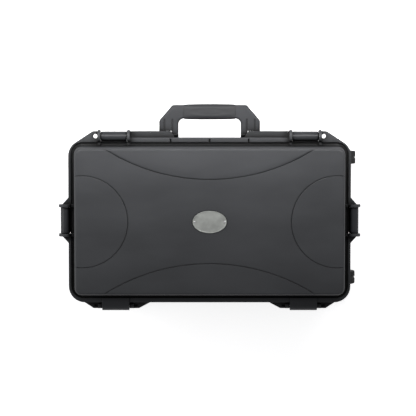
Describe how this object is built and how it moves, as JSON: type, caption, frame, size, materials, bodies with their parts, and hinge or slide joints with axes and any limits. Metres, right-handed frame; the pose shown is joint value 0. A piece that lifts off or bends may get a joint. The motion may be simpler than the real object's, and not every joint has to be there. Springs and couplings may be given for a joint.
{
  "type": "drone carrying case",
  "caption": "Rugged wheeled hard case for a drone: hinged lid with clamp latches, folding carry handle, telescopic pull handle and fitted foam.",
  "frame": {"origin": "centre of the bottom of the bounding box, on the plane the rubber feet stand on, with the case lying on its back and the lid up", "axes": "+X along the hinge towards the wheels, +Y towards the carry handle, +Z out of the lid"},
  "size_m": [0.752, 0.5164, 0.2413],
  "materials": {
    "case_plastic": "fine moulded texture",
    "lid_plastic": "fine moulded texture, satin",
    "latch_plastic": "satin",
    "handle_plastic": "satin",
    "trim_plastic": "satin",
    "button_plastic": "semi-gloss",
    "rubber": "matt",
    "seal_rubber": "matt",
    "tyre_rubber": "matt",
    "foam": "open-cell foam",
    "steel": "turned",
    "tube_alloy": "satin anodised",
    "plate_metal": "brushed, clear coated",
    "bush": "turned"
  },
  "bodies": {
    "base": {"base_shell": "case_plastic", "base_feet": "rubber", "foam_tray": "foam", "foam_underlay": "foam", "hinge_pins": "steel", "handle_pins": "steel", "wheel_axles": "steel", "axle_caps": "trim_plastic", "fixed_tubes": "tube_alloy", "tube_guides": "trim_plastic", "tube_blocks": "trim_plastic", "tube_covers": "case_plastic", "cover_screws": "steel", "valve_body": "trim_plastic", "valve_seal": "seal_rubber"},
    "lid": {"lid_shell": "lid_plastic", "lid_gasket": "seal_rubber", "lid_foam": "foam", "nameplate": "plate_metal", "nameplate_rivets": "steel", "latch_pins": "steel"},
    "latch_top_left": {"latch_top_left": "latch_plastic"},
    "latch_top_right": {"latch_top_right": "latch_plastic"},
    "latch_left": {"latch_left": "latch_plastic"},
    "latch_right": {"latch_right": "latch_plastic"},
    "handle": {"handle_frame": "handle_plastic", "handle_sleeve": "rubber"},
    "wheel_top": {"wheel_hub_top": "trim_plastic", "wheel_tyre_top": "tyre_rubber", "wheel_bush_top": "bush"},
    "wheel_bottom": {"wheel_hub_bottom": "trim_plastic", "wheel_tyre_bottom": "tyre_rubber", "wheel_bush_bottom": "bush"},
    "middle_stage": {"middle_tubes": "tube_alloy"},
    "pull_handle": {"inner_tubes": "tube_alloy", "pull_grip": "trim_plastic", "pull_pad": "rubber"},
    "release_button": {"release_button": "button_plastic"},
    "valve_knob": {"valve_knob": "trim_plastic"}
  },
  "joints": [
    {"name": "lid_hinge", "type": "hinge", "parent": "base", "child": "lid", "pos_m": [0, -0.2452, 0.174], "axis": [1, 0, 0], "range_deg": [0, 100]},
    {"name": "latch_top_left_pivot", "type": "hinge", "parent": "lid", "child": "latch_top_left", "pos_m": [-0.238, 0.1778, 0.182], "axis": [1, 0, 0], "range_deg": [0, 100]},
    {"name": "latch_top_right_pivot", "type": "hinge", "parent": "lid", "child": "latch_top_right", "pos_m": [0.238, 0.1778, 0.182], "axis": [1, 0, 0], "range_deg": [0, 100]},
    {"name": "latch_left_pivot", "type": "hinge", "parent": "lid", "child": "latch_left", "pos_m": [-0.3595, -0.0312, 0.182], "axis": [0, 1, 0], "range_deg": [0, 100]},
    {"name": "latch_right_pivot", "type": "hinge", "parent": "lid", "child": "latch_right", "pos_m": [0.3595, -0.0312, 0.182], "axis": [0, -1, 0], "range_deg": [0, 100]},
    {"name": "handle_fold", "type": "hinge", "parent": "base", "child": "handle", "pos_m": [0, 0.1818, 0.154], "axis": [-1, 0, 0], "range_deg": [0, 90]},
    {"name": "wheel_top_spin", "type": "hinge", "parent": "base", "child": "wheel_top", "pos_m": [0.342, 0.1208, 0.036], "axis": [0, 1, 0], "continuous": true},
    {"name": "wheel_bottom_spin", "type": "hinge", "parent": "base", "child": "wheel_bottom", "pos_m": [0.342, -0.1892, 0.036], "axis": [0, 1, 0], "continuous": true},
    {"name": "pull_slide", "type": "slide", "parent": "base", "child": "pull_handle", "axis": [-1, 0, 0], "range_m": [0, 0.45]},
    {"name": "middle_slide", "type": "slide", "parent": "base", "child": "middle_stage", "axis": [-1, 0, 0], "range_m": [0, 0.225]},
    {"name": "button_press", "type": "slide", "parent": "pull_handle", "child": "release_button", "axis": [1, 0, 0], "range_m": [0, 0.0028], "stiffness_N_per_m": 800},
    {"name": "valve_turn", "type": "hinge", "parent": "base", "child": "valve_knob", "pos_m": [0, 0.1512, 0.128], "axis": [0, 1, 0], "range_deg": [0, 180]}
  ],
  "couplings": [
    {"joint": "middle_slide", "follows": "pull_slide", "ratio": 0.5}
  ]
}
